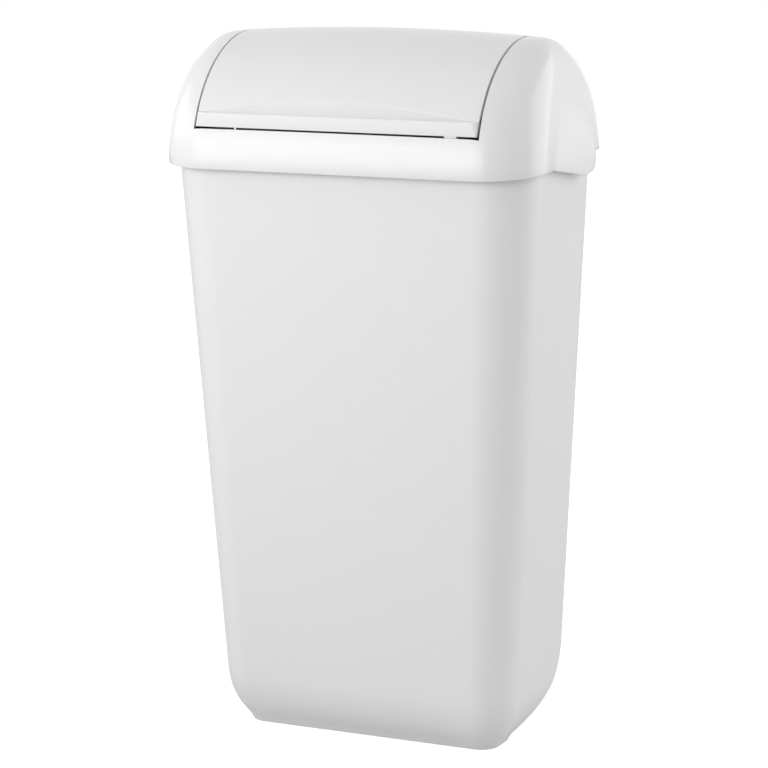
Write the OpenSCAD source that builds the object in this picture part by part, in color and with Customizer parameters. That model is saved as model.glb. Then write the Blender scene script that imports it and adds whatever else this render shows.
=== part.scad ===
// Swing-lid waste bin: a tapered tub with an upright back, a bag ring on its rim,
// a domed hood that lifts off, and a flap that swings on two pins in the hood.
// Lengths are in millimetres. The front faces -Y, the floor is z = 0 and the
// middle of the bin stands over the origin.

/* [Tub] */
// Height of the rim above the floor
rim_z = 494; // [470:1:520]
// Width just under the rim
tub_top_w = 322; // [300:1:340]
// Width at the floor, before the foot is rounded
tub_foot_w = 260; // [240:1:290]
// Distance from the middle to the front wall at the rim
tub_front_top = 88.1; // [80:0.1:96]
// Distance from the middle to the front wall at the floor
tub_front_foot = 50.5; // [45:0.1:70]
// Distance from the middle to the upright back wall
tub_back = 92; // [84:0.5:100]
// Radius of the front corners at the rim
front_corner_top = 43.4; // [34:0.1:50]
// Radius of the front corners at the floor
front_corner_foot = 30; // [26:0.5:40]
// Radius of the rear corners at the rim
rear_corner_top = 50.8; // [40:0.1:56]
// Radius of the rear corners at the floor
rear_corner_foot = 27; // [25:0.5:40]
// Wall thickness of the tub, hood and flap
wall = 2.5; // [2:0.1:3]
// Radius of the rounding between the walls and the foot
foot_round = 60; // [50:1:80]
// Height at which that rounding ends
foot_round_h = 45; // [35:1:48]
// Share of that rounding taken off the corner radii
foot_corner_share = 0.8; // [0.4:0.05:1]
// How far the back wall curves forward at the floor beyond that rounding
heel_in = 44; // [25:1:50]
// Height at which that curve of the back wall ends
heel_h = 75; // [60:1:100]
// Height of the tapered edge that the tub stands on
foot_ring_h = 6; // [4:0.5:8]
// How far that edge tapers in
foot_step = 2.4; // [1:0.1:3]
// Width of the foot's standing face
foot_ring_w = 6; // [4:0.5:10]
// Depth of the hollow under the floor
foot_hollow = 2; // [1.5:0.1:3]
// How far the rim flange stands out from the wall
rim_out = 1.8; // [1:0.1:2.4]
// Height of the rim flange
rim_h = 7; // [5:0.5:9]

/* [Bag ring] */
// Thickness of the ring
ring_t = 1.8; // [1.4:0.1:2.4]
// How far the ring hangs down inside the tub
ring_drop = 18; // [10:1:26]
// Play between the ring and the tub's wall
ring_play = 0.4; // [0.3:0.1:1]

/* [Hood] */
// How far the hood stands out over the tub's sides
hood_side_over = 5.5; // [5.4:0.1:9]
// How far the hood stands out over the tub's front
hood_front_over = 11.2; // [9:0.1:14]
// How far the hood stands out over the tub's back
hood_back_over = 7.6; // [6.5:0.1:10]
// Radius of the hood's corners at its skirt
hood_corner = 48; // [40:1:54]
// Height of the dome above its springing line
dome_h = 104; // [98:1:112]
// Distance of the springing line below the rim
dome_drop = 12.5; // [10:0.5:16]
// Extra height in the middle of the crest
crown = 4; // [2:0.5:6]
// Distance of the crest behind the middle
crest_y = 6; // [2:0.5:10]
// Shape of the hood's shoulders: lower is squarer
shoulder_pow = 0.46; // [0.36:0.01:0.6]
// Distance of the skirt's front edge below the rim
skirt_drop = 16.2; // [14:0.1:22]
// Distance of the back edge below the rim
back_edge_drop = 2.5; // [1.5:0.1:4]
// Rounding of the skirt's outer lower edge
skirt_round = 1; // [0.6:0.1:1.4]
// Distance of the inner ledge's edge from the tub's wall line
ledge_in = 2.6; // [2:0.1:4]
// Thickness of the inner ledge
ledge_t = 2; // [1.6:0.1:3]
// Distance of the locating ribs from the middle
rib_x = 60; // [40:1:90]
// Thickness of the locating ribs
rib_t = 2; // [1.5:0.1:3]

/* [Grip lobes] */
// How far the lobes swell out of the hood's sides
lobe_out = 3.6; // [3:0.1:6]
// Position of the notch in front of each lobe
notch_y = -38.5; // [-44:0.5:-32]
// Distance of that notch below the rim
notch_drop = 11.2; // [9:0.1:13]
// Position of the lowest point of each lobe
lobe_low_y = 25; // [15:1:32]
// Distance of that lowest point below the rim
lobe_low_drop = 20.3; // [18:0.1:24]
// Position of the heel of each lobe
heel_y = 37; // [34:0.5:42]
// Distance of the heel below the rim
heel_drop = 18; // [14:0.1:18.5]
// Position of the rear end of each lobe
lobe_rear_y = 50.3; // [48:0.1:54]
// Height above the rim at which the lobes fade out
lobe_rise = 37; // [28:1:44]
// Length over which the swelling falls back at its rear end
lobe_return = 10; // [7:0.5:14]
// Forward lean of the crease in front of each lobe
lobe_lean = 0.4; // [0.2:0.05:0.6]
// Bend of the lobes' rear outline
lobe_bend = 0.018; // [0.012:0.001:0.024]

/* [Flap] */
// Distance of the flap's ends from the tub's widest sides
flap_side = 37; // [36:0.5:42]
// Width of the gap round the flap
seam_gap = 1.6; // [1.2:0.1:1.8]
// Height of the middle of the front gap above the springing line
sill_rise = 29.8; // [27:0.1:34]
// Slope of the sill's top face
sill_slope = 55; // [52:1:60]
// Angle from the crest back to the rear gap
rear_angle = 25; // [18:1:32]
// Height of the lip at the flap's lower edge
lip_h = 11.5; // [9:0.5:13]
// Length over which the lip's ends are rounded
lip_end = 5; // [3:0.5:8]
// Distance of the finger scoop's ends from the flap's ends
scoop_side = 4; // [3:0.5:24]
// Height of the finger scoop above the lip
scoop_h = 10.5; // [7:0.5:13]
// Height of the step under the finger scoop's arched edge
scoop_step = 2; // [1:0.1:3]
// Distance of the left stop tab from the flap's end
tab_left_side = 36; // [30:1:54]
// Width of the left stop tab
tab_left_w = 1.8; // [1.6:0.1:4]
// Distance of the right stop tab from the flap's end
tab_right_side = 22.5; // [20:0.5:44]
// Width of the right stop tab
tab_right_w = 10.7; // [6:0.1:12]
// Height of the pads that carry the tabs across the gap
pad_h = 1.1; // [0.6:0.1:1.1]
// How far the tabs reach below the flap's edge
tab_reach = 5.5; // [4:0.5:6]
// Thickness of the tabs
tab_t = 2.4; // [2:0.1:3]
// Play between the tabs and the sill
stop_play = 0.35; // [0.3:0.05:0.6]

/* [Pivot] */
// Distance of the pivot in front of the middle
pivot_front = 37; // [34:0.5:40]
// Height of the pivot above the springing line
pivot_rise = 79.5; // [76:0.5:82]
// Radius of the pivot pins
pin_r = 4; // [3:0.1:5]
// Radial play of the pins in the hood
pin_play = 0.05; // [0.03:0.01:0.1]
// Radial play of the pins in the flap
pin_snug = 0.02; // [0.01:0.01:0.03]
// Radius of the pins' heads
pin_head_r = 6; // [5.5:0.1:7]
// Thickness of the pins' heads
pin_head_t = 1.5; // [1.2:0.1:2.5]
// Length of the bosses round the pins
boss_len = 5.5; // [4:0.5:8]
// Radius of the bosses and lugs round the pins
boss_r = 9; // [7.5:0.5:10]
// Depth of the webs along the flap and its opening
web_depth = 9; // [7:0.5:11]
// Thickness of those webs
web_t = 2.5; // [2:0.1:3]

/* [Hidden] */
$fn = 48;
corner_steps = 7;
foot_steps = 7;
heel_pow = 2.3;
heel_round = 0.45;
front_steps = 8;
side_steps = 18;
flap_x_steps = 30;
flap_dome_steps = 15;
seat = 0.3;
chamfer = 0.8;

ring_z = rim_z + ring_t;
hood_hw = tub_top_w / 2 + hood_side_over;
hood_front = tub_front_top + hood_front_over;
hood_back = tub_back + hood_back_over;
dome_z = rim_z - dome_drop;
front_r = hood_front + crest_y;
back_r = hood_back - crest_y;
flap_hw = tub_top_w / 2 - flap_side;
scoop_hw = flap_hw - scoop_side;
open_hw = flap_hw + seam_gap;
crown_hw = flap_hw + seam_gap / 2;
crest_hw = crown_hw + 0.2;
corner_x = hood_hw - hood_corner;
round_share = 0.8;
ring_angles = [9, 13, 17, 21, 25, 29, 33, 41, 49, 57, 65, 72, 78, 83];
skirt_z = rim_z - skirt_drop;
notch_z = rim_z - notch_drop;
back_edge_z = rim_z - back_edge_drop;
lobe_wide_z = rim_z - 4;
lobe_top_z = rim_z + lobe_rise;
sill_z = dome_z + sill_rise - seam_gap / 2;
edge_z = dome_z + sill_rise + seam_gap / 2;
lip_z = edge_z + lip_h;
pivot_y = -pivot_front;
pivot_z = dome_z + pivot_rise;
rear_phi = 90 + rear_angle;

// How far the foot's rounding moves the wall in at height z.
function foot_inset(z) =
  z >= foot_round_h ? 0
  : foot_round - sqrt(pow(foot_round, 2) - pow(foot_round_h - max(z, foot_ring_h), 2));

// How far the back wall has curved forward at height z.
function heel_inset(z) =
  heel_in * pow(max(0, heel_h - max(z, foot_ring_h)) / (heel_h - foot_ring_h), heel_pow);

// One outline of the tub as a closed list of points: height z, moved in by inset.
function tub_outline(z, inset) =
  let (
    u = z / rim_z,
    in = inset + foot_inset(z),
    r_in = inset + foot_corner_share * foot_inset(z),
    hw = (tub_foot_w + (tub_top_w - tub_foot_w) * u) / 2 - in,
    front = tub_front_foot + (tub_front_top - tub_front_foot) * u - in,
    back = tub_back - in - heel_inset(z),
    rf = front_corner_foot + (front_corner_top - front_corner_foot) * u - r_in,
    rr = rear_corner_foot + (rear_corner_top - rear_corner_foot) * u - r_in
      + heel_round * heel_inset(z)
  )
  concat(
    corner_arc(hw - rf, rf - front, rf, -90, z),
    corner_arc(hw - rr, back - rr, rr, 0, z),
    corner_arc(rr - hw, back - rr, rr, 90, z),
    corner_arc(rf - hw, rf - front, rf, 180, z)
  );

// A quarter circle of points round (x, y) at height z, from angle start.
function corner_arc(x, y, r, start, z) = [
  for (i = [0:corner_steps])
    let (a = start + 90 * i / corner_steps)
    [x + r * cos(a), y + r * sin(a), z]
];

// A closed solid through a stack of outlines with the same number of points.
module ring_stack(rings) {
  n = len(rings[0]);
  last = (len(rings) - 1) * n;
  polyhedron(
    points = [for (ring = rings) each ring],
    faces = concat(
      [[for (i = [0:n - 1]) i]],
      [
        for (k = [0:len(rings) - 2], i = [0:n - 1], half = [0, 1])
          let (a = k * n + i, b = k * n + (i + 1) % n)
          half == 0 ? [a, a + n, b + n] : [a, b + n, b]
      ],
      [[for (i = [n - 1:-1:0]) last + i]]
    )
  );
}

module bin_body() {
  floor_z = foot_hollow + wall;
  color("white")
    ring_stack(concat(
      [
        tub_outline(foot_hollow, foot_step + foot_ring_w + chamfer),
        tub_outline(0, foot_step + foot_ring_w),
        tub_outline(0, foot_step + chamfer),
        tub_outline(chamfer, foot_step)
      ],
      [
        for (i = [0:foot_steps])
          let (z = foot_ring_h + (foot_round_h - foot_ring_h) * i / foot_steps)
          tub_outline(z, 0)
      ],
      [
        tub_outline((foot_round_h + heel_h) / 2, 0),
        tub_outline(heel_h, 0),
        tub_outline(rim_z - rim_h, 0),
        tub_outline(rim_z - rim_h, -rim_out),
        tub_outline(rim_z - chamfer, -rim_out),
        tub_outline(rim_z, chamfer - rim_out),
        tub_outline(rim_z, wall),
        tub_outline(heel_h, wall),
        tub_outline((foot_round_h + heel_h) / 2, wall)
      ],
      [
        for (i = [foot_steps:-1:0])
          let (z = floor_z + (foot_round_h - floor_z) * i / foot_steps)
          tub_outline(z, wall)
      ]
    ));
}

// A flat outline with its own radii at the front and rear corners.
module rounded_outline(hw, front, back, rf, rr) {
  polygon([
    [rf - hw, -front], [hw - rf, -front], [hw, rf - front], [hw, back - rr],
    [hw - rr, back], [rr - hw, back], [-hw, back - rr], [-hw, rf - front]
  ]);
  for (side = [-1, 1]) {
    translate([side * (hw - rf), rf - front])
      circle(r = rf);
    translate([side * (hw - rr), back - rr])
      circle(r = rr);
  }
}

// The tub's wall line at height z as a flat outline, moved in by inset.
module tub_plan(z, inset) {
  u = z / rim_z;
  rounded_outline(
    (tub_foot_w + (tub_top_w - tub_foot_w) * u) / 2 - inset,
    tub_front_foot + (tub_front_top - tub_front_foot) * u - inset,
    tub_back - inset,
    front_corner_foot + (front_corner_top - front_corner_foot) * u - inset,
    rear_corner_foot + (rear_corner_top - rear_corner_foot) * u - inset
  );
}

module bag_ring() {
  low_z = rim_z - ring_drop;
  outer = wall + ring_play;
  color("white")
    difference() {
      union() {
        translate([0, 0, rim_z])
          linear_extrude(ring_t)
            tub_plan(rim_z, 0);
        translate([0, 0, low_z])
          linear_extrude(ring_drop + ring_t / 2)
            tub_plan(low_z, outer);
      }
      translate([0, 0, low_z - 1])
        linear_extrude(ring_drop + ring_t + 2)
          tub_plan(low_z, outer + ring_t);
    }
}

// The dome's height above the springing line at x, before its wall is taken off.
function dome_rise(x) = dome_h + crown * (1 - pow(x / crown_hw, 2));

// The dome's half width at angle phi from the springing line.
function dome_hw(phi) = crest_hw + (hood_hw - crest_hw) * pow(abs(cos(phi)), shoulder_pow);

// The radius of the dome's corners seen from above at angle phi.
function dome_corner(phi) =
  min(dome_hw(phi) - corner_x, round_share * (front_r + back_r) / 2 * abs(cos(phi)));

// The angle at which the dome reaches height z at x, with its wall t thick.
function dome_phi(x, z, t) = asin(max(0, min(1, (z - dome_z) / (dome_rise(x) - t))));

// A [y, z] point of the dome at x and angle phi (beyond 90 is behind the crest).
function dome_at(x, phi, t) =
  let (
    r = dome_corner(phi),
    e = max(0, abs(x) - dome_hw(phi) + r),
    drop = r - sqrt(max(0, r * r - e * e)),
    reach = (phi > 90 ? back_r : front_r) - t
  )
  [
    crest_y - reach * cos(phi) + (phi > 90 ? -drop : drop),
    dome_z + (dome_rise(x) - t) * sin(phi)
  ];

// How far a grip lobe swells out at (y, z).
function lobe(y, z) =
  let (
    rear = lobe_rear_y - lobe_bend * pow(z - lobe_wide_z, 2),
    front = notch_y + lobe_lean * (z - notch_z),
    high = max(0, (z - lobe_wide_z) / (lobe_top_z - lobe_wide_z)),
    fade = high >= 1 ? 0 : 1 - pow(high, 1.5),
    u = max(0, min(1, (y - front) / (rear - lobe_return - front))),
    v = max(0, min(1, (rear - y) / lobe_return))
  )
  lobe_out * fade * u * v * v * (3 - 2 * v);

// The height of the skirt's lower edge at y.
function skirt_edge(y) =
  lookup(y, [
    [-hood_front, skirt_z],
    [notch_y, notch_z],
    [lobe_low_y, rim_z - lobe_low_drop],
    [heel_y, rim_z - heel_drop],
    [(heel_y + 3 * lobe_rear_y) / 4, (back_edge_z + 2 * (rim_z - heel_drop)) / 3],
    [lobe_rear_y, back_edge_z]
  ]);

// The hood's columns: [share along x, share along y, outward x, outward y].
function corner_columns(sx, sy, start) = [
  for (i = [0:corner_steps])
    let (a = start + 90 * i / corner_steps)
    [sx, sy, cos(a), sin(a)]
];
columns = concat(
  corner_columns(1, -1, -90),
  [for (i = [1:side_steps - 1]) [1, side_share(i), 1, 0]],
  corner_columns(1, 1, 0),
  [for (i = [1:front_steps - 1]) [1 - 2 * i / front_steps, 1, 0, 1]],
  corner_columns(-1, 1, 90),
  [for (i = [side_steps - 1:-1:1]) [-1, side_share(i), -1, 0]],
  corner_columns(-1, -1, 180),
  [for (i = [1:front_steps - 1]) [2 * i / front_steps - 1, -1, 0, -1]]
);

// The share of a side's length at column i: columns are closer near the lobe's heel.
function side_share(i) = 2 * pow(i / side_steps, 0.7) - 1;

// The [x, y] point of column c at angle phi, its wall t in, moved out by out.
function column_xy(c, phi, t, out) =
  let (
    hw = dome_hw(phi) - t,
    front = crest_y - (front_r - t) * cos(phi),
    back = crest_y + (back_r - t) * cos(phi),
    r = dome_corner(phi) - t
  )
  [
    c[0] * (hw - r) + c[2] * (r + out),
    (front + back) / 2 + c[1] * ((back - front) / 2 - r) + c[3] * (r + out)
  ];

// The [x, y, z] point of column c at height z, for the skirt below the dome.
function skirt_point(c, z, t, inset) =
  let (
    phi = dome_phi(hood_hw, z, 0),
    y = column_xy(c, phi, t, 0)[1],
    xy = column_xy(c, phi, t, lobe(y, z) - inset)
  )
  [xy[0], xy[1], z];

// The [x, y, z] point of column c at angle phi of the dome.
function dome_point(c, phi, t) =
  let (
    at = column_xy(c, phi, t, 0),
    z = dome_z + (dome_rise(at[0]) - t) * sin(phi),
    xy = column_xy(c, phi, t, lobe(at[1], z))
  )
  [xy[0], xy[1], z];

// All the points of one face of the hood, t in from its outside.
function hood_face(t) =
  let (
    start = [for (c = columns) skirt_edge(column_xy(c, 0, 0, 0)[1])],
    first = dome_z + dome_h * sin(ring_angles[0]),
    top = ring_angles[len(ring_angles) - 1]
  )
  concat(
    [for (i = [0:len(columns) - 1]) skirt_point(columns[i], start[i], t, t > 0 ? 0 : skirt_round)],
    [for (i = [0:len(columns) - 1]) skirt_point(columns[i], start[i] + 2 * skirt_round, t, 0)],
    [
      for (i = [0:len(columns) - 1])
        skirt_point(columns[i], (start[i] + 2 * skirt_round + first) / 2, t, 0)
    ],
    [for (phi = ring_angles, c = columns) dome_point(c, phi, t)],
    [
      for (i = [0:front_steps])
        let (x = (2 * i / front_steps - 1) * (dome_hw(top) - dome_corner(top)))
        [x, crest_y, dome_z + dome_rise(x) - t]
    ]
  );

// The faces over one side of the hood, from its skirt to its crest line.
function hood_faces(first, flip) =
  let (
    n = len(columns),
    rings = len(ring_angles) + 3,
    top = first + (rings - 1) * n,
    crest = first + rings * n,
    right_end = 2 * corner_steps + side_steps,
    left_start = right_end + front_steps,
    left_end = left_start + right_end,
    walls = [
      for (k = [0:rings - 2], i = [0:n - 1], half = [0, 1])
        let (a = first + k * n + i, b = first + k * n + (i + 1) % n)
        half == 0 ? [a, a + n, b + n] : [a, b + n, b]
    ],
    right_fan = [
      for (i = [0:right_end - 1]) [crest + front_steps, top + i + 1, top + i]
    ],
    back_strip = [
      for (j = [0:front_steps - 1], half = [0, 1])
        let (a = top + right_end + j, b = crest + front_steps - j)
        half == 0 ? [b, b - 1, a + 1] : [b, a + 1, a]
    ],
    left_fan = [
      for (i = [left_start:left_end - 1]) [crest, top + i + 1, top + i]
    ],
    front_strip = [
      for (j = [0:front_steps - 1], half = [0, 1])
        let (a = top + left_end + j, a1 = top + (left_end + j + 1) % n, b = crest + j)
        half == 0 ? [b, b + 1, a1] : [b, a1, a]
    ],
    all = concat(walls, right_fan, back_strip, left_fan, front_strip)
  )
  flip ? [for (f = all) [f[2], f[1], f[0]]] : all;

module hood_shell() {
  outer = hood_face(0);
  n = len(columns);
  m = len(outer);
  polyhedron(
    points = concat(outer, hood_face(wall)),
    faces = concat(
      hood_faces(0, false),
      hood_faces(m, true),
      [
        for (i = [0:n - 1], half = [0, 1])
          let (j = (i + 1) % n)
          half == 0 ? [i, j, m + j] : [i, m + j, m + i]
      ]
    )
  );
}

// A profile drawn in [y, z] and drawn out along x from one x to another.
module along_x(from, to) {
  translate([from, 0, 0])
    rotate([90, 0, 90])
      linear_extrude(to - from)
        children();
}

// The space that the flap's opening takes out of the hood.
module flap_opening() {
  phi = dome_phi(0, sill_z, 0);
  at = dome_at(0, phi, 0);
  run = [cos(sill_slope), -sin(sill_slope)];
  gap = asin(seam_gap / back_r);
  outer = dome_at(0, rear_phi + gap, -2 * wall);
  inner = dome_at(0, rear_phi + gap, 3 * wall);
  along_x(-open_hw, open_hw)
    polygon([
      at - 3 * wall * run,
      at + 4 * wall * run,
      inner,
      outer,
      [outer[0], dome_z + dome_h + 10 * wall],
      [at[0] - 3 * wall * run[0], dome_z + dome_h + 10 * wall]
    ]);
}

// A web that follows the dome at x, with a lug down to the pivot.
module web_profile(x, start, end, top) {
  steps = 20;
  polygon(concat(
    [for (i = [0:steps]) dome_at(x, start + (end - start) * i / steps, top)],
    [for (i = [steps:-1:0]) dome_at(x, start + (end - start) * i / steps, wall + web_depth)]
  ));
  polygon([
    [pivot_y - boss_r, pivot_z],
    [pivot_y + boss_r, pivot_z],
    dome_at(x, 75, wall + web_depth / 2),
    dome_at(x, 50, wall + web_depth / 2)
  ]);
  translate([pivot_y, pivot_z])
    circle(r = boss_r);
}

// The solid round a pin between two positions along x.
module pin_cylinder(from, to, r) {
  translate([from, pivot_y, pivot_z])
    rotate([0, 90, 0])
      cylinder(h = to - from, r = r);
}

module hood_ledge() {
  low = ring_z + seat;
  phi = dome_phi(hood_hw, low, 0);
  in = wall / 2;
  translate([0, 0, low])
    difference() {
      linear_extrude(ledge_t)
        rounded_outline(
          dome_hw(phi) - in,
          (front_r - in) * cos(phi) - crest_y,
          (back_r - in) * cos(phi) + crest_y,
          dome_corner(phi) - in,
          dome_corner(phi) - in
        );
      translate([0, 0, -1])
        linear_extrude(ledge_t + 2)
          tub_plan(rim_z, ledge_in);
    }
}

module locating_ribs() {
  top = ring_z + seat + ledge_t / 2;
  front_low = skirt_z + 2 * skirt_round;
  front_in = tub_front_top + rim_out + seat;
  back_low = back_edge_z + skirt_round;
  back_in = tub_back + rim_out + seat;
  for (side = [-1, 1]) {
    translate([side * rib_x - rib_t / 2, wall / 2 - hood_front, front_low])
      cube([rib_t, hood_front - wall / 2 - front_in, top - front_low]);
    translate([side * rib_x - rib_t / 2, back_in, back_low])
      cube([rib_t, hood_back - 0.6 * wall - back_in, top - back_low]);
  }
}

module hood() {
  start = dome_phi(open_hw, sill_z, 0) + 3;
  color("white")
    difference() {
      union() {
        difference() {
          hood_shell();
          flap_opening();
        }
        hood_ledge();
        locating_ribs();
        for (side = [0, 1])
          mirror([side, 0, 0]) {
            along_x(open_hw, open_hw + web_t)
              web_profile(open_hw, start, rear_phi, 0.7 * wall);
            pin_cylinder(open_hw, open_hw + boss_len, boss_r - 1);
          }
      }
      for (side = [0, 1])
        mirror([side, 0, 0])
          pin_cylinder(open_hw - 1, open_hw + boss_len + 1, pin_r + pin_play);
    }
}

// The share of the lip's reach at x: it is rounded off at both ends.
function lip_share(x) =
  let (e = max(0, abs(x) - flap_hw + lip_end) / lip_end)
  sqrt(max(0, 1 - e * e));

// The share of the scoop's height at x.
function scoop_share(x) = max(0, 1 - pow(x / scoop_hw, 2));

// The dome's y at x and height z, with its wall t thick.
function dome_y(x, z, t) = dome_at(x, dome_phi(x, z, t), t)[0];

// The flap's outer profile at x as [y, z] points, from the lip to the rear edge.
function flap_outer(x) =
  let (
    band = dome_y(x, edge_z, 0),
    lip = band + (1 - lip_share(x)) * (dome_y(x, lip_z, 0) - band),
    arch_z = lip_z + scoop_h * scoop_share(x),
    arch_y = dome_y(x, arch_z, 0),
    floor_z = arch_z + 0.5 - scoop_step * sqrt(scoop_share(x)),
    start = dome_phi(x, arch_z + 1.5, 0)
  )
  concat(
    [
      [band + 0.4, edge_z],
      [band, edge_z + 0.6],
      [(band + lip) / 2, (edge_z + lip_z) / 2],
      [lip, lip_z - 1],
      [lip + 0.4, lip_z - 0.2],
      [lip + 1.4, lip_z + 0.2],
      [arch_y + 0.5, floor_z],
      [arch_y + 0.1, arch_z + 0.7]
    ],
    [
      for (k = [0:flap_dome_steps])
        dome_at(x, start + (rear_phi - start) * k / flap_dome_steps, 0)
    ]
  );

// The flap's inner profile at x, point for point behind the outer one.
function flap_inner(x) =
  let (
    band = dome_y(x, edge_z, 0) + wall,
    lip = band + (1 - lip_share(x)) * (dome_y(x, lip_z, 0) - dome_y(x, edge_z, 0)),
    arch_z = lip_z + scoop_h * scoop_share(x),
    floor_y = dome_y(x, arch_z, 0) + 0.5 + 0.9 * wall,
    floor_z = arch_z - 0.3 - scoop_step * sqrt(scoop_share(x)),
    start = dome_phi(x, arch_z + 2 * wall, wall)
  )
  concat(
    [
      [band - 0.4, edge_z],
      [band, edge_z + 0.6],
      [(band + lip) / 2, (edge_z + lip_z) / 2 - 1],
      [lip, lip_z - 2.2],
      [lip + 0.5, lip_z - 1.6],
      [lip + 1.2, lip_z - 1.2],
      [floor_y, floor_z],
      [floor_y, arch_z + 0.5]
    ],
    [
      for (k = [0:flap_dome_steps])
        dome_at(x, start + (rear_phi - start) * k / flap_dome_steps, wall)
    ]
  );

module flap_shell() {
  xs = [for (i = [0:flap_x_steps]) flap_hw * sin(180 * i / flap_x_steps - 90)];
  rows = len(flap_outer(0));
  m = (flap_x_steps + 1) * rows;
  last = flap_x_steps * rows;
  polyhedron(
    points = concat(
      [for (x = xs, q = flap_outer(x)) [x, q[0], q[1]]],
      [for (x = xs, q = flap_inner(x)) [x, q[0], q[1]]]
    ),
    faces = concat(
      [
        for (i = [0:flap_x_steps - 1], k = [0:rows - 2], half = [0, 1])
          let (a = i * rows + k, b = a + rows)
          half == 0 ? [a, a + 1, b + 1] : [a, b + 1, b]
      ],
      [
        for (i = [0:flap_x_steps - 1], k = [0:rows - 2], half = [0, 1])
          let (a = m + i * rows + k, b = a + rows)
          half == 0 ? [b + 1, a + 1, a] : [b, b + 1, a]
      ],
      [
        for (i = [0:flap_x_steps - 1], half = [0, 1])
          let (a = i * rows, b = a + rows)
          half == 0 ? [a, b, m + b] : [a, m + b, m + a]
      ],
      [
        for (i = [0:flap_x_steps - 1], half = [0, 1])
          let (a = i * rows + rows - 1, b = a + rows)
          half == 0 ? [m + b, b, a] : [m + a, m + b, a]
      ],
      [
        for (k = [0:rows - 2], half = [0, 1])
          half == 0 ? [k, m + k, m + k + 1] : [k, m + k + 1, k + 1]
      ],
      [
        for (k = [0:rows - 2], half = [0, 1])
          let (a = last + k)
          half == 0 ? [a, a + 1, m + a + 1] : [a, m + a + 1, m + a]
      ]
    )
  );
}

// A pad across the front gap with a tab that reaches down behind the sill and
// stops the flap there.
module stop_tab(x, w) {
  low = edge_z - tab_reach;
  corner_z = sill_z - wall * tan(sill_slope);
  far_x = abs(x) + w / 2;
  tab_y = dome_y(far_x, corner_z, wall) + stop_play;
  pad_y = dome_y(far_x, edge_z, 0) + 0.4;
  pad_drop = (tab_y - pad_y) * tan(sill_slope) + pad_h;
  along_x(x - w / 2, x + w / 2)
    polygon([
      [pad_y, edge_z + 1],
      [pad_y, edge_z - pad_h],
      [tab_y, edge_z - pad_drop],
      [tab_y, low],
      [tab_y + tab_t, low],
      [tab_y + tab_t, edge_z + lip_h / 2],
      [pad_y + wall / 2, edge_z + lip_h / 2],
      [pad_y + wall / 2, edge_z + 1]
    ]);
}

module swing_flap() {
  start = dome_phi(flap_hw, lip_z, 0) + 3;
  color("white")
    difference() {
      union() {
        flap_shell();
        stop_tab(tab_left_side - flap_hw, tab_left_w);
        stop_tab(flap_hw - tab_right_side, tab_right_w);
        for (side = [0, 1])
          mirror([side, 0, 0]) {
            along_x(flap_hw - web_t, flap_hw)
              web_profile(flap_hw - web_t, start, rear_phi - 1, wall / 2);
            pin_cylinder(flap_hw - boss_len, flap_hw, boss_r - 1);
          }
      }
      for (side = [0, 1])
        mirror([side, 0, 0])
          pin_cylinder(flap_hw - boss_len - 1, flap_hw + 1, pin_r + pin_snug);
    }
}

// A headed pin through the flap's boss into the hood's boss, on the +X side.
module pivot_pin() {
  head = flap_hw - boss_len;
  tip = open_hw + boss_len;
  color("gainsboro")
    union() {
      pin_cylinder(head - pin_head_t, head, pin_head_r);
      pin_cylinder(head, tip, pin_r);
    }
}

module pivot_pin_left() {
  mirror([1, 0, 0])
    pivot_pin();
}

module pivot_pin_right() {
  pivot_pin();
}

bin_body();
bag_ring();
hood();
swing_flap();
pivot_pin_left();
pivot_pin_right();
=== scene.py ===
"""A white swing-lid waste bin: tub, bag ring, domed hood and swing flap.

Sizes are in millimetres, as in the part's own source, and every mesh is made in metres in
the same frame: +Z up, the front facing -Y, the floor at z = 0.
"""

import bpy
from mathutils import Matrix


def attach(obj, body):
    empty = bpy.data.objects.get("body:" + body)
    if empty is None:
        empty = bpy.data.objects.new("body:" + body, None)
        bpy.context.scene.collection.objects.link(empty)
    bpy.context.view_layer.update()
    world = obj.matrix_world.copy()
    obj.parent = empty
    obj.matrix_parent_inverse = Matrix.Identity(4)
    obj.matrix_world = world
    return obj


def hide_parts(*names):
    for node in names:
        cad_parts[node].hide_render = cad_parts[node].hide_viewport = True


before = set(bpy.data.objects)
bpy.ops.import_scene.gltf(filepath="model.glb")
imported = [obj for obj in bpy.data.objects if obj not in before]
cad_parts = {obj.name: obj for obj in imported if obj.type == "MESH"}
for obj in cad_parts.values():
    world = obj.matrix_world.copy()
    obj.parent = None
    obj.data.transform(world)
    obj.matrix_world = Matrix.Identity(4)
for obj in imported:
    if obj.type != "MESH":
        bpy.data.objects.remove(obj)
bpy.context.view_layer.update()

import logging
import math
from dataclasses import dataclass, field
from enum import Enum

import bmesh
import bpy
from mathutils import Vector

LOG = logging.getLogger("waste_bin")
MM = 0.001
WHITE = (1.0, 1.0, 1.0, 1.0)

Point = tuple[float, float, float]
Flat = tuple[float, float]
Face = tuple[int, ...]
Column = tuple[float, float, float, float]


def clamp(value: float, low: float = 0.0, high: float = 1.0) -> float:
    """The value kept between low and high."""
    return max(low, min(high, value))


def along(points: list[Flat], at: float) -> float:
    """The height of a line through the points at one place.

    Args:
        points: (place, height) pairs in rising order of place.
        at: the place.

    Returns:
        The height, level beyond both ends.
    """
    if at <= points[0][0]:
        return points[0][1]
    for (a, low), (b, high) in zip(points, points[1:]):
        if at <= b:
            return low + (high - low) * (at - a) / (b - a)
    return points[-1][1]


def drawn_faces(n: int) -> list[Face]:
    """The faces of a shape of n corners that is drawn out straight."""
    sides = [(i, (i + 1) % n, n + (i + 1) % n, n + i) for i in range(n)]
    return sides + [tuple(range(n)), tuple(range(2 * n - 1, n - 1, -1))]


class Finish(Enum):
    """The finishes that the pieces are moulded in."""

    TUB = "tub_plastic"
    HOOD = "hood_plastic"
    RING = "ring_plastic"
    PIN = "pin_plastic"


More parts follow.
